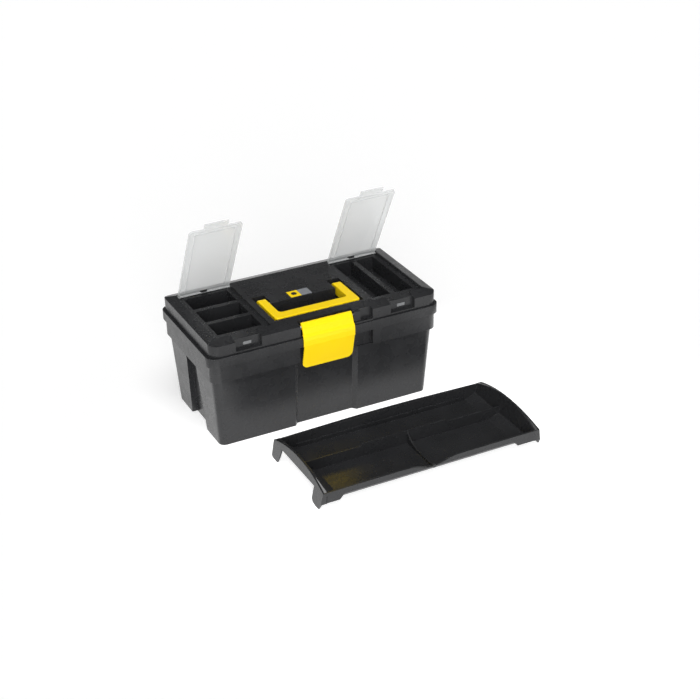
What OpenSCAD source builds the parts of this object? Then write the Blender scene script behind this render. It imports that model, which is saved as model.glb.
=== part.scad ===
// Plastic toolbox: a drafted body with a rim flange, a lid with two organiser bins under clear
// covers, a fold-down handle, a front latch, and a lift-out tray standing in front of it.
// The frame's origin is the centre of the underside, +X runs along the length, -Y is the front.

/* [Body] */
// Length over the rim flange
box_length = 409.4; // [408:0.2:411]
// Depth over the rim flange, front to back
box_depth = 213.2; // [212:0.4:216]
// Height of the step where the collar starts
collar_z = 122; // [118:1:126]
// Height of the underside of the rim flange
rim_z = 150.3; // [149:0.1:151]
// Height of the top of the rim flange
rim_top = 165.9; // [165.5:0.1:166]
// Wall thickness of the body
wall = 3; // [2.6:0.1:3.2]

/* [Lid] */
// Height of the lid's top face
lid_top = 191.5; // [191:0.1:192]
// Height of the crease between the lid's walls and its sloping border
crease_z = 185.3; // [184.5:0.1:186]
// Angle that the bin covers stand open from closed
cover_open = 62.3; // [0:0.1:90]

/* [Tray] */
// Length of the tray over its end arches
tray_length = 377; // [370:1:380]
// Depth of the tray, front to back
tray_depth = 174; // [168:1:178]
// Height of the tray's rim above its feet
tray_rim = 29; // [27:1:32]
// Height of the crown of the end arches above the feet
tray_crown = 43.5; // [40:0.5:45]
// Place of the tray's middle beside the toolbox
tray_place = [67, -242]; // [-300:1:300]

/* [Hidden] */

far = 400;              // reach of a cutting block past any face
black = [0.09, 0.09, 0.1];
yellow = [1, 0.83, 0.06];

// body
lower_base = [375.6, 181.6];                         // lower body at the floor
lower_head = [392, 197];                             // lower body under the collar
collar = [box_length - 8.4, box_depth - 6];          // collar between lower body and rim
base_r = 11;                                         // corner radii, from the floor up
head_r = 13;
collar_r = 15;
rim_r = 17;
draft_x = atan((lower_head.x - lower_base.x) / 2 / collar_z);
draft_y = atan((lower_head.y - lower_base.y) / 2 / collar_z);
ledge_z = collar_z + wall;                           // shelf that carries the stowed tray
panel_half = 49.5;                                   // half width of the front panel's floor
panel_depth = 7;
end_half = [33, 21];                                 // half width of each end's recess, at its foot and head
end_depth = 9;
end_top = 105;
bay_back = -box_depth / 2 + 11.1;                    // back wall of the recess beside the latch
bay_right = 80.8;                                    // far side of that recess
eye = [68.5, -box_depth / 2 + 7.3];                    // centre of the padlock hole
eye_r = 3.2;
eye_web_z = 160;

// hinge between body and lid
hinge_y = box_depth / 2 + 1.4;
hinge_z = rim_top + 1.1;
hinge_x = 120;                                       // middle of each hinge
knuckle_r = 4.5;
lid_knuckle = 31;                                    // width of the lid's middle knuckle
body_knuckle = 14;                                   // width of each outer knuckle
hinge_pin_r = 2;
running = 0.05;                                      // radial clearance of a turning pin

// lid
lid_base = rim_top + 0.4;
lid_size = collar - [1, 1.2];                        // lid walls, in plan
lid_r = 14;
front_y = -lid_size.y / 2;
top_front = -80;                                     // front edge of the flat top
top_back = 84;
top_end = 184;                                       // half length of the flat top
end_z = 187.8;                                       // top edge of the end walls
pocket_back = -88.4;                                 // back of the latch pocket
pocket_half = 47.5;
lid_bay_back = front_y + 7.5;                        // back wall of the shallow recesses
lug_right = 59.5;
lug_front = front_y + 1.5;
lug_top = 186;

// bins and covers
bin_places = [-136, 136];                            // middle of each bin
seat_half = 46.3;                                    // half width of the cover's seat
seat_front = -83.5;
seat_back = 84;
seat_z = 186.5;
opening_half = 37.5;
opening_front = -69;
opening_back = 72;
bin_floor = 161;
bin_wall = 2.2;
ridge = 9;                                           // width of a ridge between compartments
ridge_fronts = [-28, 22];                            // front edges of the left bin's ridges
long_ridge = -4.5;                                   // left edge of the right bin's ridge
tab_half = 22;                                       // half width of the finger recess
tab_floor = 169.5;
cover_axis = [79.5, 188.7];                          // y and z of the cover's hinge line
trunnion_r = 1.8;
rod_r = 1.5;
cover_half = 45.2;
tab_reach = 11.5;                                    // length of a cover's finger tab
cover_corner = 5;                                    // radius of a cover's two free corners
cover_front = -82.5;
cover_z = 189.4;
cover_t = 2;
rib_z = 187.2;                                       // underside of the cover's ribs

// handle
handle_axis = [-2.5, 184];
handle_front = -72.5;
handle_arm = [60.5, 75];                             // inner and outer side of each arm
handle_r = 8.5;
handle_bar = 19;                                     // width of the front bar
slot = [57, 79];                                     // inner and outer side of each slot
slot_back = 15.8;
slot_front = -75.5;
grip_back = -17;
pocket_floor = 171;
handle_pin_r = 2.5;

// latch
latch_axis = [-97.5, 181.3];
latch_half = 44.5;
latch_foot = 108.2;                                  // height of the latch's lower edge
latch_pin_r = 2;

// badge
badge_z = 190.8;
badge_y = [-14, 7];
badge_x = [-21, -2.3, 16.5];

// tray, in its own frame: middle at x = y = 0, feet at z = 0
tray_half = [tray_length / 2, tray_depth / 2];
tray_wall = 2.2;
tray_floor = 6;
ramp = [[156, 6], [177, 14]];                        // x and z of the slope at each end of the floor
pan_crown = 185.5;                                   // inner side of the end wall at the crown
foot_spread = 7.5;                                   // how far the feet stand out of the arches
skirt_z = 27;                                        // underside of the skirt between the feet
stud_z = 22.5;
apron_z = 19.5;                                      // underside of the front apron
apron_low = 11;
apron_corners = [155, 143];                          // where the apron drops, left and right
divider_y = 11;
cross_x = 6.5;

// ---- shared shapes ----

module rounded_rect(size, r) {
    square([size.x - 2 * r, size.y], center = true);
    square([size.x, size.y - 2 * r], center = true);
    for (sx = [-1, 1], sy = [-1, 1])
        translate([sx * (size.x / 2 - r), sy * (size.y / 2 - r)]) circle(r, $fn = 64);
}

module slab(size, r, z0, z1) {
    translate([0, 0, z0]) linear_extrude(z1 - z0) rounded_rect(size, r);
}

// A block between two corners.
module block(low, high) {
    translate(low) cube(high - low);
}

// A cylinder along X between two x values, about the line through [y, z].
module rod(x0, x1, centre, r, fn = 48) {
    translate([x0, centre.x, centre.y]) rotate([0, 90, 0]) cylinder(r = r, h = x1 - x0, $fn = fn);
}

// An outline in the YZ plane, drawn out along X.
module along_x(x0, x1) {
    translate([x0, 0, 0]) rotate([90, 0, 90]) linear_extrude(x1 - x0) children();
}

// An outline in the XZ plane, drawn out along Y.
module along_y(y0, y1) {
    translate([0, y1, 0]) rotate([90, 0, 0]) linear_extrude(y1 - y0) children();
}

module both_ends() {
    children();
    mirror([1, 0, 0]) children();
}

// A block whose plan grows from one rectangle at z0 to another at z1.
module drafted(base, head, r0, r1, z0, z1) {
    hull() {
        translate([0, 0, z0]) linear_extrude(0.1) offset_free_rect(base, r0);
        translate([0, 0, z1 - 0.1]) linear_extrude(0.1) offset_free_rect(head, r1);
    }
}

module offset_free_rect(size, r) {
    for (sx = [-1, 1], sy = [-1, 1])
        translate([sx * (size.x / 2 - r), sy * (size.y / 2 - r)]) circle(r, $fn = 32);
}

// ---- body ----

// Channel that follows the front wall's draft: its floor lies depth behind the face.
module front_channel(half, depth, out, top) {
    flare = 6.5;
    translate([0, -lower_base.y / 2, 0]) rotate([draft_y, 0, 0])
        translate([0, 0, -10]) linear_extrude(top + 10)
            polygon([[-half - flare, -out], [-half - flare, 0], [-half, depth], [half, depth],
                [half + flare, 0], [half + flare, -out]]);
}

// Recess in the left end wall, narrower towards its sloping head; grow makes room for the wall inside.
module end_channel(grow, out) {
    depth = end_depth + grow;
    top = end_top + grow;
    foot = end_half[0] + grow;
    head = end_half[1] + grow;
    translate([-lower_base.x / 2, 0, 0]) rotate([0, -draft_x, 0]) intersection() {
        along_y(-far, far)
            polygon([[-out, -10], [depth, -10], [depth, top], [0, top + depth], [-out, top + depth + out]]);
        along_x(-far, far)
            polygon([[-foot, -11], [foot, -11], [head, end_top], [head, far], [-head, far], [-head, end_top]]);
    }
}

// Middle of each lid hinge.
module lid_hinge_places() {
    for (x = [-hinge_x, hinge_x]) translate([x, 0, 0]) children();
}

module body_knuckles() {
    inner = lid_knuckle / 2 + 0.5;
    lid_hinge_places() both_ends() {
        rod(inner, inner + body_knuckle, [hinge_y, hinge_z], knuckle_r);
        block([inner, hinge_y - 4, hinge_z - 9], [inner + body_knuckle, hinge_y + knuckle_r, hinge_z]);
    }
}

module body_hollow() {
    base = lower_base - [2, 2] * wall;
    head = lower_head - [2, 2] * wall;
    difference() {
        union() {
            drafted(base, head, base_r - 2, head_r - 2, wall, ledge_z);
            slab(collar - [2, 2] * wall, collar_r - wall, ledge_z - 0.1, rim_top + 1);
        }
        front_channel(panel_half + wall, panel_depth + wall, 0, collar_z + wall + 2);
        both_ends() end_channel(wall, 0);
        block([-panel_half - wall, -far, collar_z - wall], [bay_right + wall, bay_back + wall, rim_top + 1]);
    }
}

module body_shell() color(black) difference() {
    union() {
        drafted(lower_base, lower_head, base_r, head_r, 0, collar_z + 1);
        slab(collar, collar_r, collar_z, rim_z);
        slab([box_length, box_depth], rim_r, rim_z, rim_top);
        body_knuckles();
    }
    body_hollow();
    front_channel(panel_half, panel_depth, far / 10, collar_z + 1);
    both_ends() end_channel(0, far / 10);
    // recess under the rim, behind and beside the latch
    block([-panel_half, -far, collar_z], [bay_right, bay_back, rim_z]);
    block([-panel_half, -box_depth / 2 + wall, collar_z], [bay_right, bay_back, eye_web_z]);
    translate([eye.x, eye.y, collar_z]) cylinder(r = eye_r, h = far, $fn = 48);
    lid_hinge_places() {
        rod(-lid_knuckle / 2 - 0.5, lid_knuckle / 2 + 0.5, [hinge_y, hinge_z], knuckle_r + 0.6);
        rod(-40, 40, [hinge_y, hinge_z], hinge_pin_r);
    }
}

module hinge_pin(x) color("silver") {
    half = lid_knuckle / 2 + 0.5 + body_knuckle;
    rod(x - half, x + half, [hinge_y, hinge_z], hinge_pin_r);
}

// ---- lid ----

// The lid's outer form, or its inner form when inset is the wall thickness.
module lid_form(inset) {
    y1 = lid_size.y / 2 - inset;
    x1 = lid_size.x / 2 - inset;
    z_top = lid_top - inset;
    z_side = crease_z - inset;
    z_end = end_z - inset;
    intersection() {
        slab(lid_size - [2, 2] * inset, lid_r - inset, lid_base - (inset > 0 ? 1 : 0), lid_top + 1);
        along_x(-far, far) polygon([[-y1, 0], [-y1, z_side], [top_front + inset / 3, z_top],
            [top_back - inset / 3, z_top], [y1, z_side], [y1, 0]]);
        along_y(-far, far) polygon([[-x1, 0], [-x1, z_end], [-top_end + inset / 3, z_top],
            [top_end - inset / 3, z_top], [x1, z_end], [x1, 0]]);
    }
}

// Walls that hang from the lid's top around the bins, the handle pocket and the latch.
module lid_inner_walls() {
    floor_z = seat_z - 2.5;
    for (x = bin_places) translate([x, 0, 0]) {
        block([-seat_half - 2.5, seat_front - 2.5, floor_z], [seat_half + 2.5, seat_back + 2.5, lid_top]);
        // shelf under the cover's tab, and the wall behind the finger recess
        block([-tab_half - 2.5, lid_bay_back, floor_z + 0.5], [tab_half + 2.5, seat_front, lid_top]);
        block([-tab_half - 2.5, -far, lid_base], [tab_half + 2.5, lid_bay_back + 2.5, lid_top]);
    }
    both_ends() block([slot[0] - 2.5, slot_front - 2.5, pocket_floor - 2.5],
        [slot[1] + 2.5, slot_back + 2.5, lid_top]);
    block([-slot[0], slot_front - 2.5, pocket_floor - 2.5], [slot[0], grip_back + 2.5, lid_top]);
    block([-pocket_half - 12.5, -far, lid_base], [bay_right + 2.5, lid_bay_back + 2.5, lid_top]);
    block([-pocket_half - 12.5, -far, lid_base], [lug_right, pocket_back + 2.5, lid_top]);
}

// Outside of one bin, below the seat.
module bin_cup() {
    block([-opening_half - bin_wall, opening_front - bin_wall, bin_floor - bin_wall],
        [opening_half + bin_wall, opening_back + bin_wall, seat_z]);
}

// A compartment between two corners in plan.
module compartment(low, high) {
    block([low.x, low.y, bin_floor], [high.x, high.y, far]);
}

// Room inside a ridge, open to the underside of the lid.
module ridge_core(low, high) {
    block([low.x + bin_wall, low.y + bin_wall, 0],
        [high.x - bin_wall, high.y - bin_wall, seat_z - bin_wall]);
}

// Three compartments, one behind the other.
module left_bin_room() {
    fronts = concat([opening_front], [for (y = ridge_fronts) y + ridge]);
    backs = concat(ridge_fronts, [opening_back]);
    for (i = [0:len(fronts) - 1]) compartment([-opening_half, fronts[i]], [opening_half, backs[i]]);
    for (y = ridge_fronts) ridge_core([-opening_half, y], [opening_half, y + ridge]);
}

// Two long compartments side by side.
module right_bin_room() {
    compartment([-opening_half, opening_front], [long_ridge, opening_back]);
    compartment([long_ridge + ridge, opening_front], [opening_half, opening_back]);
    ridge_core([long_ridge, opening_front], [long_ridge + ridge, opening_back]);
}

// Seat for one cover, and the finger recess in the front wall.
module bin_cuts() {
    block([-seat_half, seat_front, seat_z], [seat_half, seat_back, far]);
    block([-tab_half, lid_bay_back, seat_z + 1.1], [tab_half, seat_front + 1, far]);
    block([-tab_half, -far, tab_floor], [tab_half, lid_bay_back, far]);
    rod(-seat_half - 2.2, seat_half + 2.2, cover_axis, trunnion_r + running);
}

module cover_clip() {
    difference() {
        block([-5, cover_axis.x - 2.6, seat_z - 1], [5, cover_axis.x + 3.4, cover_axis.y + 2.2]);
        rod(-6, 6, cover_axis, rod_r + running);
        block([-6, cover_axis.x - 5, cover_axis.y - 1.1], [6, cover_axis.x, cover_axis.y + 1.1]);
    }
}

module lid_shell() color(black) {
    difference() {
        union() {
            difference() {
                lid_form(0);
                lid_form(3);
            }
            intersection() {
                lid_form(0);
                lid_inner_walls();
            }
            for (x = bin_places) translate([x, 0, 0]) bin_cup();
            // knuckles of the two lid hinges
            lid_hinge_places() {
                rod(-lid_knuckle / 2, lid_knuckle / 2, [hinge_y, hinge_z], knuckle_r);
                block([-lid_knuckle / 2, lid_size.y / 2 - 2, hinge_z - 0.2],
                    [lid_knuckle / 2, hinge_y, hinge_z + knuckle_r]);
            }
        }
        for (x = bin_places) translate([x, 0, 0]) bin_cuts();
        translate([bin_places[0], 0, 0]) left_bin_room();
        translate([bin_places[1], 0, 0]) right_bin_room();
        // pocket of the handle
        both_ends() block([slot[0], slot_front, pocket_floor], [slot[1], slot_back, far]);
        block([-slot[0] - 1, slot_front, pocket_floor], [slot[0] + 1, grip_back, far]);
        rod(-slot[1] - 2.5, slot[1] + 2.5, handle_axis, handle_pin_r);
        // pocket of the latch and the recess beside it
        block([-pocket_half, -far, lid_base + 2], [pocket_half, pocket_back, far]);
        block([pocket_half, -far, 0], [bay_right, lid_bay_back, far]);
        rod(-lug_right + 2, pocket_half, latch_axis, latch_pin_r);
        // seat of the badge
        block([badge_x[0], badge_y[0], badge_z], [badge_x[2], badge_y[1], far]);
        lid_hinge_places() rod(-30, 30, [hinge_y, hinge_z], hinge_pin_r + running);
    }
    for (x = bin_places) translate([x, 0, 0]) cover_clip();
    difference() {
        union() {
            // lug on the right of the latch, and the padlock plate under it
            block([pocket_half + 0.4, lug_front, lid_base], [lug_right, lid_bay_back, lug_top]);
            block([pocket_half + 0.4, eye.y - 5.2, lid_base], [bay_right, lid_bay_back, lid_base + 3]);
        }
        rod(0, lug_right - 2, latch_axis, latch_pin_r);
        translate([eye.x, eye.y, 0]) cylinder(r = eye_r, h = far, $fn = 48);
    }
}

// ---- covers ----

// Plan of a cover with rounded free corners, drawn in by inset on three sides.
module cover_plan(inset, back) {
    side = cover_half - inset;
    front = cover_front + inset;
    r = cover_corner - inset;
    translate([-side, front + r]) square([2 * side, back - front - r]);
    translate([-side + r, front]) square([2 * (side - r), back - front]);
    for (sx = [-1, 1]) translate([sx * (side - r), front + r]) circle(r, $fn = 48);
}

// One cover, closed, about its own middle.
module closed_cover() {
    top = cover_z + cover_t;
    skirt = 1.6;
    tab_width = 41;
    difference() {
        union() {
            translate([0, 0, cover_z]) linear_extrude(cover_t) cover_plan(0, cover_axis.x + 0.7);
            translate([0, 0, cover_z - 1.2]) linear_extrude(1.3) cover_plan(0, cover_axis.x - 3.5);
            both_ends() {
                block([cover_half - 3.2, cover_axis.x - 5.5, cover_z - 1.2],
                    [cover_half, cover_axis.x, top]);
                block([cover_half - 3.2, cover_axis.x, cover_axis.y], [cover_half, cover_axis.x + 1.2, top]);
                rod(cover_half - 3.2, cover_half, cover_axis, 1.9);
                rod(cover_half - 1, cover_half + 3.1, cover_axis, trunnion_r);
            }
            // finger tab with three grip bars
            block([-tab_width / 2, cover_front - tab_reach, cover_z], [tab_width / 2, cover_front + 1, top]);
            for (i = [1:3])
                translate([0, cover_front - 2.4 * i, top]) block([-11, -1, 0], [11, 0, 0.6]);
        }
        linear_extrude(cover_z) cover_plan(skirt, cover_axis.x - 5.5);
        block([-cover_half + 3.2, cover_axis.x - 5.6, 0], [cover_half - 3.2, far, cover_z]);
        block([-7, cover_axis.x - 5, 0], [7, far, far]);
    }
    rod(-cover_half + 1, cover_half - 1, cover_axis, rod_r);
    // stiffening ribs inside the skirt, clear of the ridges when the cover is shut
    both_ends() block([34, -74, rib_z], [35.4, 70, cover_z + 0.1]);
    block([-35.4, -75.4, rib_z], [35.4, -74, cover_z + 0.1]);
}

module cover(x) color([0.86, 0.88, 0.88, 0.4]) {
    translate([x, cover_axis.x, cover_axis.y]) rotate([-cover_open, 0, 0])
        translate([0, -cover_axis.x, -cover_axis.y]) closed_cover();
}

// ---- latch ----

module latch() color(yellow) difference() {
    union() {
        intersection() {
            along_x(-latch_half, latch_half) latch_side();
            along_y(-150, -50) latch_front();
        }
        // ears where the latch bulges over the rim
        intersection() {
            both_ends() along_x(0, latch_half + 0.8) latch_side();
            block([-far, -far, rim_z + 1], [far, 0, rim_top + 5]);
        }
        rod(-latch_half, latch_half, latch_axis, 3.8);
    }
    rod(-far, far, latch_axis, latch_pin_r + running);
}

module latch_side() {
    polygon([[-95.8, 188.4], [-98.2, 188.6], [-103.8, 181], [-106.8, 172], [-109.3, 167], [-110.1, 161],
        [-109.9, 152], [-100.4, 112], [-99.6, latch_foot], [-98.1, latch_foot + 1], [-98.6, 112.5],
        [-107.5, 149.2], [-107.9, 152], [-108.1, 160.5], [-107.7, 166.5], [-104.3, 171.8],
        [-101.3, 180.2], [-96.4, 186.4]]);
}

// Front view of the latch, with its two lower corners rounded.
module latch_front() {
    corner = 9.5;
    translate([-latch_half, latch_foot + corner]) square([2 * latch_half, far]);
    translate([-latch_half + corner, latch_foot]) square([2 * (latch_half - corner), far]);
    for (sx = [-1, 1])
        translate([sx * (latch_half - corner), latch_foot + corner]) circle(corner, $fn = 64);
}

module latch_pin() color("silver") {
    rod(-lug_right + 2, lug_right - 2, latch_axis, latch_pin_r);
}

// ---- handle ----

// Plan of the handle, drawn in by inset on every side.
module handle_plan(inset) {
    outer = handle_arm[1] - inset;
    inner = handle_arm[0] + inset;
    front = handle_front + inset;
    back = handle_front + handle_bar - inset;
    r = 6 - min(inset, 2);
    difference() {
        union() {
            translate([-outer, front + r]) square([2 * outer, handle_axis.x - front - r]);
            translate([-outer + r, front]) square([2 * (outer - r), r + 1]);
            for (sx = [-1, 1]) translate([sx * (outer - r), front + r]) circle(r, $fn = 48);
        }
        translate([-inner, back + r]) square([2 * inner, far]);
        translate([-inner + r, back]) square([2 * (inner - r), far]);
        for (sx = [-1, 1]) translate([sx * (inner - r), back + r]) circle(r, $fn = 48);
    }
}

module handle() color(yellow) difference() {
    union() {
        translate([0, 0, handle_axis.y - handle_r]) linear_extrude(2 * handle_r) handle_plan(0);
        both_ends() rod(handle_arm[0], handle_arm[1], handle_axis, handle_r, 64);
    }
    // hollow underside, open below as far as the arm ends
    difference() {
        linear_extrude(handle_axis.y + handle_r - 3) handle_plan(2.6);
        block([-far, handle_axis.x - handle_r - 3, 0], [far, far, far]);
    }
    rod(-far, far, handle_axis, handle_pin_r + running);
}

module handle_pin(side) color("silver") {
    x0 = side > 0 ? slot[0] - 2.5 : -slot[1] - 2.5;
    rod(x0, x0 + slot[1] - slot[0] + 5, handle_axis, handle_pin_r);
}

// ---- badge ----

module badge(x0, x1) {
    block([x0, badge_y[0], badge_z], [x1, badge_y[1], lid_top + 0.4]);
}

module badge_tile() color(yellow) badge(badge_x[0], badge_x[1]);

module badge_plate() color([0.6, 0.61, 0.63]) badge(badge_x[1], badge_x[2]);

// ---- tray ----

pan_front = -tray_half.y;
pan_back = tray_half.y;
curve_r = 24;                                        // radius of the pan's rising front
arch_r = (pow(tray_half.y, 2) + pow(tray_crown - tray_rim, 2)) / 2 / (tray_crown - tray_rim);

// Side view of the pan: flat floor, upright back and a front that sweeps up; drawn in by inset.
module pan_side(inset) {
    low = tray_floor - tray_wall + inset;
    back = pan_back - 1 - inset;
    front = pan_front + 1.5 + inset;
    r = curve_r - inset;
    high = inset > 0 ? far : tray_rim;
    polygon(concat([[back, high], [back - (inset > 0 ? 0.6 : 0), low]],
        [for (a = [270:-6:180]) [front + r + r * cos(a), low + r + r * sin(a)]],
        [[front, high]]));
}

// End view of the room between the two end walls.
module pan_length() {
    a = ramp[0] + [1, 0];
    b = ramp[1] + [1, 0];
    c = pan_crown + 1;
    low = tray_floor - tray_wall;
    polygon([[-a.x, low], [a.x, low], [a.x, a.y], b, [c, tray_crown], [c, far],
        [-c, far], [-c, tray_crown], [-b.x, b.y], [-a.x, a.y]]);
}

module arch_outline(foot) {
    difference() {
        intersection() {
            translate([0, tray_crown - arch_r]) circle(arch_r, $fn = 240);
            translate([-tray_half.y, foot]) square([tray_depth, far]);
        }
        children();
    }
}

// Cut between and around the feet, in side view: a broad front foot and a tapered rear one.
module foot_cuts() {
    h = tray_half.y;
    polygon([[-h + 30, skirt_z], [-h + 31.5, 5.5], [-h + 27, 1.5], [-h + 17, 0], [-h + 17, -1],
        [h - 21, -1], [h - 21, 0], [h - 25, 8], [h - 30, skirt_z]]);
    polygon([[-h - 1, 30], [-h, 30], [-h + 2, 9], [-h + 7, 0], [-h + 7, -1], [-h - 1, -1]]);
    polygon([[h + 1, 3], [h, 3], [h - 4, 0], [h - 4, -1], [h + 1, -1]]);
}

// Arched end of the tray: an inner wall that leans in and an outer skirt that leans out.
module tray_end() {
    crown = tray_half.x;
    t = tray_wall;
    intersection() {
        along_y(-pan_back, pan_back) polygon([[crown - 3.2, tray_crown], [crown, tray_crown],
            [crown + foot_spread, 0], [crown + foot_spread - t, 0], [crown - 2, tray_crown - t - 3]]);
        along_x(0, far) arch_outline(0) foot_cuts();
    }
    intersection() {
        along_y(-pan_back, pan_back) polygon([[crown - 3.2, tray_crown], [crown, tray_crown],
            [crown - 1.2, tray_crown - t], ramp[1] + [t, -0.8], ramp[0] + [0.6, -t],
            ramp[0] + [-1, -t], ramp[0], ramp[1]]);
        along_x(0, far) arch_outline(0);
        union() {
            along_x(0, far) pan_side(0);
            block([0, pan_front + 1.5, tray_rim - 1], [far, pan_back - 1, far]);
        }
    }
    // the feet wrap round the corners
    for (y = [pan_front, pan_back - t]) intersection() {
        along_y(-pan_back, pan_back) polygon([[crown - 8, tray_rim], [crown - 0.5, tray_rim],
            [crown + foot_spread - 1, 0], [crown - 4, 0]]);
        along_x(0, far) arch_outline(0) foot_cuts();
        block([0, y, 8], [far, y + t, tray_rim]);
    }
}

// Back wall above the rim, crowned along its length.
module back_crown() {
    rise = 3.4;
    reach = 186;
    steps = 24;
    back = pan_back - 1;
    along_y(back - tray_wall, back) polygon(concat([[reach, tray_rim - 4], [-reach, tray_rim - 4]],
        [for (i = [0:steps]) let (t = 2 * i / steps - 1) [reach * t, tray_rim + rise * (1 - t * t)]]));
}

// Long divider, with a raised middle.
module long_divider() {
    low = 25;
    high = 29;
    edge = 78;
    along_y(divider_y - 1, divider_y + 1)
        polygon([[-ramp[0].x, tray_floor - 1], [-ramp[1].x - 0.5, ramp[1].y - 1], [-181, low], [-edge, low],
            [-edge + 3, high], [edge - 3, high], [edge, low], [181, low],
            [ramp[1].x + 0.5, ramp[1].y - 1], [ramp[0].x, tray_floor - 1]]);
}

// Cross divider: its top falls away from the long divider in a curve.
module cross_divider() {
    foot = 10;
    rise = 18.5;
    reach = 62;
    along_x(cross_x - 1, cross_x + 1)
        polygon(concat([[divider_y, tray_floor - 1], [divider_y, foot + rise]],
            [for (i = [1:12]) let (t = 1 - i / 12) [divider_y - reach * (1 - t), foot + rise * pow(t, 4.5)]],
            [[pan_front + 7, foot], [pan_front + 12, tray_floor - 1]]));
}

// Skirt under the front rim, deeper towards the feet.
module tray_apron() {
    reach = 184;
    step = 8;
    left = apron_corners[0];
    right = apron_corners[1];
    along_y(pan_front, pan_front + tray_wall)
        polygon([[-reach, apron_low], [-left - step, apron_low], [-left, apron_z], [right, apron_z],
            [right + step, apron_low], [reach, apron_low], [reach, tray_rim], [-reach, tray_rim]]);
}

// Shallow scoop in the front rim, as an outline in the XZ plane.
module scoop_outline() {
    half = 46;
    deep = 8.5;
    polygon(concat([[-half, far], [-half, tray_rim + 0.01]],
        [for (a = [0:15:360]) [-half + 2 * half * a / 360, tray_rim + 0.01 - deep * (1 - cos(a)) / 2]],
        [[half, far]]));
}

module tray() color(black) translate([tray_place.x, tray_place.y, 0]) {
    difference() {
        union() {
            intersection() {
                difference() {
                    along_x(-far, far) pan_side(0);
                    along_x(-far, far) pan_side(tray_wall);
                }
                along_y(-far, far) pan_length();
            }
            tray_apron();
            back_crown();
            // back ledge just above the floor
            block([-153, pan_back - 6, tray_floor - 1], [153, pan_back - 2, tray_floor + 7]);
        }
        translate([-3, 0, 0]) along_y(pan_front - 1, pan_front + 12) scoop_outline();
    }
    intersection() {
        union() {
            long_divider();
            cross_divider();
        }
        along_x(-far, far) pan_side(0.5);
    }
    both_ends() tray_end();
    // hanging stud under the front rim
    translate([-2.5, pan_front + 1, stud_z]) rotate([90, 0, 0]) cylinder(r = 2.7, h = 4.5, $fn = 32);
}

body_shell();
hinge_pin(-hinge_x);  // left_hinge_pin
hinge_pin(hinge_x);  // right_hinge_pin
lid_shell();
cover(bin_places[0]);  // left_cover
cover(bin_places[1]);  // right_cover
latch();
latch_pin();
handle();
handle_pin(-1);  // left_handle_pin
handle_pin(1);  // right_handle_pin
badge_tile();
badge_plate();
tray();
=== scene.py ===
"""Looks of the toolbox: finishes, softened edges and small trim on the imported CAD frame."""

import math

import bmesh
import bpy
from mathutils import Matrix, Vector


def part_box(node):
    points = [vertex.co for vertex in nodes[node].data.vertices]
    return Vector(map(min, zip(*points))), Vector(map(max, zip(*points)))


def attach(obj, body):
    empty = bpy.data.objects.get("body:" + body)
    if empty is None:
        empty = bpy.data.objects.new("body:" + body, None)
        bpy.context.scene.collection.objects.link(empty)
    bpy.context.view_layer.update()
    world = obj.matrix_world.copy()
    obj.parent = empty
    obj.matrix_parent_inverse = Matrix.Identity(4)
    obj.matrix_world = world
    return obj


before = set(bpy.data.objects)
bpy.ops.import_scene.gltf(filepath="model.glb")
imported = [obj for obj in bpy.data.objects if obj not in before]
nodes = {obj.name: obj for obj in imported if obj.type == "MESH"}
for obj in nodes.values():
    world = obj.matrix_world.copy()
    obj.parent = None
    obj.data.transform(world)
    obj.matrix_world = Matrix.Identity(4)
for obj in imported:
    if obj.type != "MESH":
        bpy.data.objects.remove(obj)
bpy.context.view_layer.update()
MM = 0.001

# Camera: where it stands and where it looks, in metres, its roll, and its lens and sensor in mm.
EYE = Vector((-0.89372, -1.94470, 1.24160))
TARGET = Vector((0.0720, -0.0375, 0.0818))
ROLL = math.radians(-0.9)
LENS = 74.96
SENSOR = 36

# Lamps: name, place, strength and spread in degrees. They all point at the middle of the set.
LAMPS = (
    ("key", (-0.9, -2.2, 0.95), 1.5, 30),
    ("top", (-0.3, -0.9, 2.6), 2.15, 45),
)
SET_MIDDLE = (0.05, -0.1, 0.1)

# Studio: the z of the direction where the walls end and where the ceiling starts, and their strengths.
WALL_HEIGHTS = (0.2, 0.27)
WALL_STRENGTHS = (1.0, 0.07)

# Table: its size and middle, its surface, and its glow by the distance from its middle, a painted light
# that washes out the toolbox's shadows.
TABLE_SIZE = 60
TABLE_PLACE = (0.1, -0.32, -0.0005)
TABLE_COLOUR = (0.85, 0.85, 0.85, 1)
TABLE_ROUGHNESS = 0.9
GLOW_REACH = (0.2, 0.6)
GLOW_STRENGTHS = (0.75, 0.22)

# Linear colours.
WHITE = (1, 1, 1, 1)
BLACK = (0.021, 0.0214, 0.0228, 1)
YELLOW = (1.0, 0.695, 0.006, 1)
# Painted highlight: a lighter black for the rounded edges of the black parts.
HIGHLIGHT_BLACK = (0.15, 0.152, 0.158, 1)
CLEAR = (0.70, 0.715, 0.715, 1)
# Painted highlight: a paler, less clear plastic for the rounded rims of the covers.
HIGHLIGHT_CLEAR = (0.88, 0.90, 0.90, 1)
STEEL = (0.55, 0.56, 0.58, 1)
GREY = (0.22, 0.23, 0.25, 1)
PALE = (0.20, 0.205, 0.21, 1)

# Noise: the part of its range that is used, and its fineness. All ripples are per metre.
NOISE_RANGE = (0.3, 0.7)
NOISE_ROUGHNESS = 0.5

# Moulded plastic.
PLASTIC_IOR = 1.49
COLOUR_RIPPLES = 22
GLOSS_RIPPLES = 55
GLOSS_STRAY = 0.05
GRAIN_DETAIL = 2.0
GRAIN_STRENGTH = 0.5

# Clear plastic.
CLEAR_IOR = 1.45
CLEAR_GLOSS_RIPPLES = 30
CLEAR_ROUGHNESS = (0.10, 0.22)
WAVE_RIPPLES = 60
WAVE_DETAIL = 1.0
WAVE_STRENGTH = 0.25
WAVE_HEIGHT = 0.2 * MM

# Drawn steel.
STEEL_RIPPLES = 900
STEEL_ROUGHNESS = (0.28, 0.42)

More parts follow.
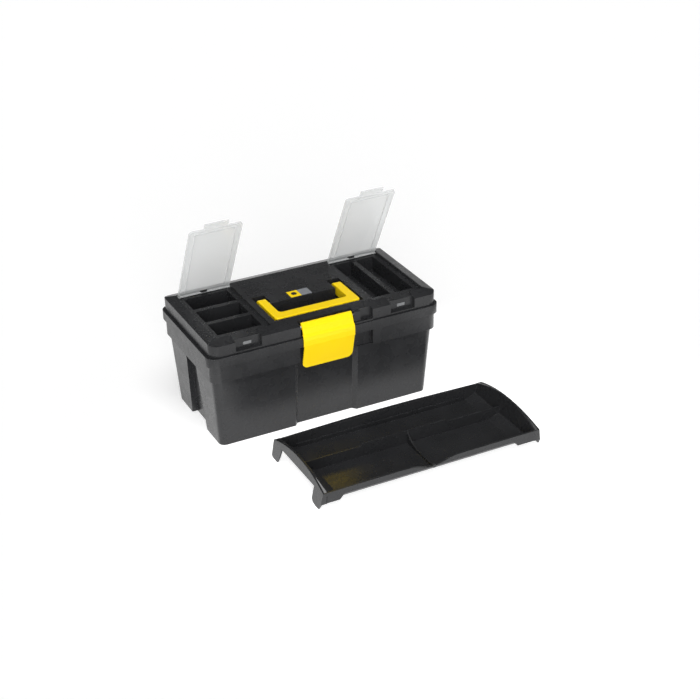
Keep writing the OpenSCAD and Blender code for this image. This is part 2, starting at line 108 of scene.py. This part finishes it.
# Softened edges: points closer than the gap are joined, faces flatter than the first angle are
# merged, and edges sharper than the second angle are rounded.
WELD_GAP = 0.01 * MM
FLAT_ANGLE = math.radians(1.0)
SHARP_ANGLE = math.radians(25)
PLATE_SOFTENING = 0.35

# Labels in the finger recesses: the recess's back wall, the label's height on it, and its sizes.
RECESS_WALL_Y = -95.5 * MM
RECESS_LABEL_Z = 177.5 * MM
LABEL_SIZE = (14 * MM, 5 * MM)
LABEL_HEIGHT = 0.9 * MM

# Marks on the badge. Each bar has a name, the side of the middle it lies on, and a width.
BOSS_CORNERS = 6
BOSS_RADIUS = 5.2 * MM
BOSS_HEIGHT = 0.4 * MM
BARS = (("badge_bar_1", -1, 13 * MM), ("badge_bar_3", 1, 9 * MM))
BAR_OFFSET = 3.2 * MM
BAR_DEPTH = 2.2 * MM
BAR_HEIGHT = 0.3 * MM


# ---- nodes of a material ----


def new_material(name):
    material = bpy.data.materials.new(name)
    material.use_nodes = True
    return material, material.node_tree, material.node_tree.nodes["Principled BSDF"]


def set_inputs(shader, values):
    """Sets the shader's own sockets, by their labels."""
    for label, value in values.items():
        shader.inputs[label].default_value = value


def map_range(tree, value, given, wanted, smooth=False):
    """Maps a value from the range given to the range wanted."""
    node = tree.nodes.new("ShaderNodeMapRange")
    if smooth:
        node.interpolation_type = "SMOOTHSTEP"
    for label, limit in zip(("From Min", "From Max", "To Min", "To Max"), given + wanted):
        node.inputs[label].default_value = limit
    tree.links.new(value, node.inputs["Value"])
    return node.outputs["Result"]


def noise(tree, ripples, detail=3.0):
    """A noise texture in object space."""
    place = tree.nodes.new("ShaderNodeTexCoord")
    texture = tree.nodes.new("ShaderNodeTexNoise")
    set_inputs(texture, {"Scale": ripples, "Detail": detail, "Roughness": NOISE_ROUGHNESS})
    tree.links.new(place.outputs["Object"], texture.inputs["Vector"])
    return texture.outputs["Fac"]


def uneven(tree, ripples, low, high):
    """A value that wanders slowly between low and high over the surface."""
    return map_range(tree, noise(tree, ripples), NOISE_RANGE, (low, high))


def add_bump(tree, shader, height, strength, distance):
    bump = tree.nodes.new("ShaderNodeBump")
    set_inputs(bump, {"Strength": strength, "Distance": distance})
    tree.links.new(height, bump.inputs["Height"])
    tree.links.new(bump.outputs["Normal"], shader.inputs["Normal"])


# ---- camera, light and floor ----


def make_camera():
    """The camera stands where the picture of the toolbox is taken from: front left, above."""
    data = bpy.data.cameras.new("camera")
    data.lens = LENS
    data.sensor_width = SENSOR
    camera = bpy.data.objects.new("camera", data)
    turn = (TARGET - EYE).to_track_quat("-Z", "Y").to_matrix().to_4x4()
    camera.matrix_world = Matrix.Translation(EYE) @ turn @ Matrix.Rotation(ROLL, 4, "Z")
    bpy.context.scene.collection.objects.link(camera)
    bpy.context.scene.camera = camera


def add_sun(name, place, strength, spread_deg):
    """A soft sun lamp; its place only gives the direction that it shines from."""
    data = bpy.data.lights.new(name, "SUN")
    data.energy = strength
    data.angle = math.radians(spread_deg)
    lamp = bpy.data.objects.new(name, data)
    lamp.location = place
    aim = Vector(SET_MIDDLE) - Vector(place)
    lamp.rotation_euler = aim.to_track_quat("-Z", "Y").to_euler()
    bpy.context.scene.collection.objects.link(lamp)


def make_world():
    """A studio with pale walls around the table, and a darker ceiling over it."""
    world = bpy.data.worlds.new("studio")
    world.use_nodes = True
    tree = world.node_tree
    background = tree.nodes["Background"]
    place = tree.nodes.new("ShaderNodeTexCoord")
    split = tree.nodes.new("ShaderNodeSeparateXYZ")
    tree.links.new(place.outputs["Generated"], split.inputs["Vector"])
    strength = map_range(tree, split.outputs["Z"], WALL_HEIGHTS, WALL_STRENGTHS)
    tree.links.new(strength, background.inputs["Strength"])
    background.inputs["Color"].default_value = WHITE
    bpy.context.scene.world = world
    bpy.context.scene.view_settings.view_transform = "Standard"


def make_floor():
    """A white table that glows a little, most of all in front of the toolbox: painted light that washes out
    the toolbox's shadows.
    """
    bpy.ops.mesh.primitive_plane_add(size=TABLE_SIZE, location=TABLE_PLACE)
    floor = bpy.context.object
    floor.name = "floor"
    material, tree, shader = new_material("floor")
    set_inputs(shader, {"Base Color": TABLE_COLOUR, "Roughness": TABLE_ROUGHNESS, "Emission Color": WHITE})
    place = tree.nodes.new("ShaderNodeTexCoord")
    reach = tree.nodes.new("ShaderNodeVectorMath")
    reach.operation = "LENGTH"
    tree.links.new(place.outputs["Object"], reach.inputs[0])
    # Painted light: the table glows most near the toolbox, so the toolbox's shadows there wash out.
    glow = map_range(tree, reach.outputs["Value"], GLOW_REACH, GLOW_STRENGTHS, smooth=True)
    tree.links.new(glow, shader.inputs["Emission Strength"])
    floor.data.materials.append(material)


# ---- materials ----


def moulded(name, colour, roughness, grain, grain_height, tint=0.12, gloss=0.38):
    """Moulded plastic: a fine grain, slow changes of gloss and a faint unevenness of colour."""
    material, tree, shader = new_material(name)
    set_inputs(shader, {"IOR": PLASTIC_IOR, "Specular IOR Level": gloss})
    mix = tree.nodes.new("ShaderNodeMix")
    mix.data_type = "RGBA"
    mix.inputs["A"].default_value = [c * (1 - tint) for c in colour[:3]] + [1]
    mix.inputs["B"].default_value = [min(1, c * (1 + tint)) for c in colour[:3]] + [1]
    tree.links.new(uneven(tree, COLOUR_RIPPLES, 0, 1), mix.inputs["Factor"])
    tree.links.new(mix.outputs["Result"], shader.inputs["Base Color"])
    rough = uneven(tree, GLOSS_RIPPLES, roughness - GLOSS_STRAY, roughness + GLOSS_STRAY)
    tree.links.new(rough, shader.inputs["Roughness"])
    add_bump(tree, shader, noise(tree, grain, GRAIN_DETAIL), GRAIN_STRENGTH, grain_height)
    return material


def clear_plastic(name, colour, opacity):
    """Clear polystyrene, a little milky, with the slow waviness of a thin moulded sheet."""
    material, tree, shader = new_material(name)
    set_inputs(shader, {"Base Color": colour, "IOR": CLEAR_IOR, "Alpha": opacity})
    tree.links.new(uneven(tree, CLEAR_GLOSS_RIPPLES, *CLEAR_ROUGHNESS), shader.inputs["Roughness"])
    add_bump(tree, shader, noise(tree, WAVE_RIPPLES, WAVE_DETAIL), WAVE_STRENGTH, WAVE_HEIGHT)
    return material


def drawn_steel(name):
    material, tree, shader = new_material(name)
    set_inputs(shader, {"Base Color": STEEL, "Metallic": 1.0})
    tree.links.new(uneven(tree, STEEL_RIPPLES, *STEEL_ROUGHNESS), shader.inputs["Roughness"])
    return material


# ---- pieces ----


def finish_node(name, material, edge, segments=2, highlight_material=None):
    """Gives a CAD node its material and rounds its sharp edges. Where a highlight material is given, the
    rounded edges take it: a lighter colour that paints highlights along them.
    """
    node = nodes[name]
    node.data.materials.clear()
    node.data.materials.append(material)
    weld = node.modifiers.new("weld", "WELD")
    weld.merge_threshold = WELD_GAP
    flat = node.modifiers.new("flat", "DECIMATE")
    flat.decimate_type = "DISSOLVE"
    flat.angle_limit = FLAT_ANGLE
    bevel = node.modifiers.new("edges", "BEVEL")
    bevel.width = edge
    bevel.segments = segments
    bevel.limit_method = "ANGLE"
    bevel.angle_limit = SHARP_ANGLE
    bevel.use_clamp_overlap = True
    bevel.harden_normals = True
    if highlight_material:
        node.data.materials.append(highlight_material)
        bevel.material = 1


def plate_piece(name, outline, placing, height, material, body):
    """A small raised plate: a flat outline, placed by a matrix, with a softened rim."""
    mesh = bpy.data.meshes.new(name)
    piece = bpy.data.objects.new(name, mesh)
    form = bmesh.new()
    face = form.faces.new([form.verts.new((x, y, 0)) for x, y in outline])
    risen = bmesh.ops.extrude_face_region(form, geom=[face])
    top = [v for v in risen["geom"] if isinstance(v, bmesh.types.BMVert)]
    bmesh.ops.translate(form, verts=top, vec=(0, 0, height))
    bmesh.ops.transform(form, matrix=placing, verts=form.verts)
    bmesh.ops.recalc_face_normals(form, faces=form.faces)
    form.to_mesh(mesh)
    form.free()
    bpy.context.scene.collection.objects.link(piece)
    mesh.materials.append(material)
    bevel = piece.modifiers.new("edges", "BEVEL")
    bevel.width = height * PLATE_SOFTENING
    bevel.segments = 2
    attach(piece, body)


def bar(width, depth):
    """A bar's outline about its own middle."""
    x, y = width / 2, depth / 2
    return [(-x, -y), (x, -y), (x, y), (-x, y)]


def ring_of(count, radius):
    """A regular outline of count corners."""
    steps = [2 * math.pi * i / count for i in range(count)]
    return [(radius * math.cos(a), radius * math.sin(a)) for a in steps]


def top_middle(name):
    """The middle of a node's top: x and y of its box's middle, and z of its top."""
    low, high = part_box(name)
    return (low[0] + high[0]) / 2, (low[1] + high[1]) / 2, high[2]


def tab_labels(material):
    """A small raised label on the back wall of each finger recess, below the cover's tab."""
    upright = Matrix.Rotation(math.radians(90), 4, "X")
    for side in ("left", "right"):
        x = top_middle(side + "_cover")[0]
        wall = Matrix.Translation((x, RECESS_WALL_Y, RECESS_LABEL_Z)) @ upright
        plate_piece(side + "_tab_label", bar(*LABEL_SIZE), wall, LABEL_HEIGHT, material, "lid")


def badge_marks(dark, pale):
    """Plain marks on the badge: a six-sided boss on the tile, and two bars on the plate."""
    tile = Matrix.Translation(top_middle("badge_tile"))
    boss = ring_of(BOSS_CORNERS, BOSS_RADIUS)
    plate_piece("badge_boss", boss, tile, BOSS_HEIGHT, dark, "lid")
    x, y, top = top_middle("badge_plate")
    for name, side, width in BARS:
        place = Matrix.Translation((x, y + side * BAR_OFFSET, top))
        plate_piece(name, bar(width, BAR_DEPTH), place, BAR_HEIGHT, pale, "lid")


make_camera()
for lamp_values in LAMPS:
    add_sun(*lamp_values)
make_world()
make_floor()

black = moulded("black_moulded", BLACK, roughness=0.28, grain=2600, grain_height=0.06 * MM)
# The rounded edges of the black parts take a lighter black: a painted highlight.
black_highlight = moulded("black_painted_highlight_edge", HIGHLIGHT_BLACK, 0.26, grain=2600, grain_height=0.03 * MM, gloss=0.8)
yellow = moulded("yellow_moulded", YELLOW, 0.33, grain=1800, grain_height=0.03 * MM, tint=0.02, gloss=0.2)
grey = moulded("grey_label", GREY, roughness=0.5, grain=2600, grain_height=0.04 * MM)
pale = moulded("pale_mark", PALE, roughness=0.45, grain=2600, grain_height=0.03 * MM)
clear = clear_plastic("clear_moulded", CLEAR, opacity=0.42)
# The rounded rims of the covers take a paler, less clear plastic: a painted highlight.
clear_highlight = clear_plastic("clear_highlight", HIGHLIGHT_CLEAR, opacity=0.85)
steel = drawn_steel("drawn_steel")

for node_name, edge in (("body_shell", 1.0), ("lid_shell", 0.8), ("tray", 0.8)):
    finish_node(node_name, black, edge * MM, segments=3, highlight_material=black_highlight)
for node_name in ("latch", "handle"):
    finish_node(node_name, yellow, edge=1.2 * MM, segments=3)
for node_name in ("left_cover", "right_cover"):
    finish_node(node_name, clear, edge=0.4 * MM, highlight_material=clear_highlight)
for node_name in ("left_hinge_pin", "right_hinge_pin", "latch_pin", "left_handle_pin", "right_handle_pin"):
    finish_node(node_name, steel, edge=0.3 * MM)
finish_node("badge_tile", yellow, edge=0.2 * MM)
finish_node("badge_plate", grey, edge=0.2 * MM)
tab_labels(pale)
badge_marks(black, pale)
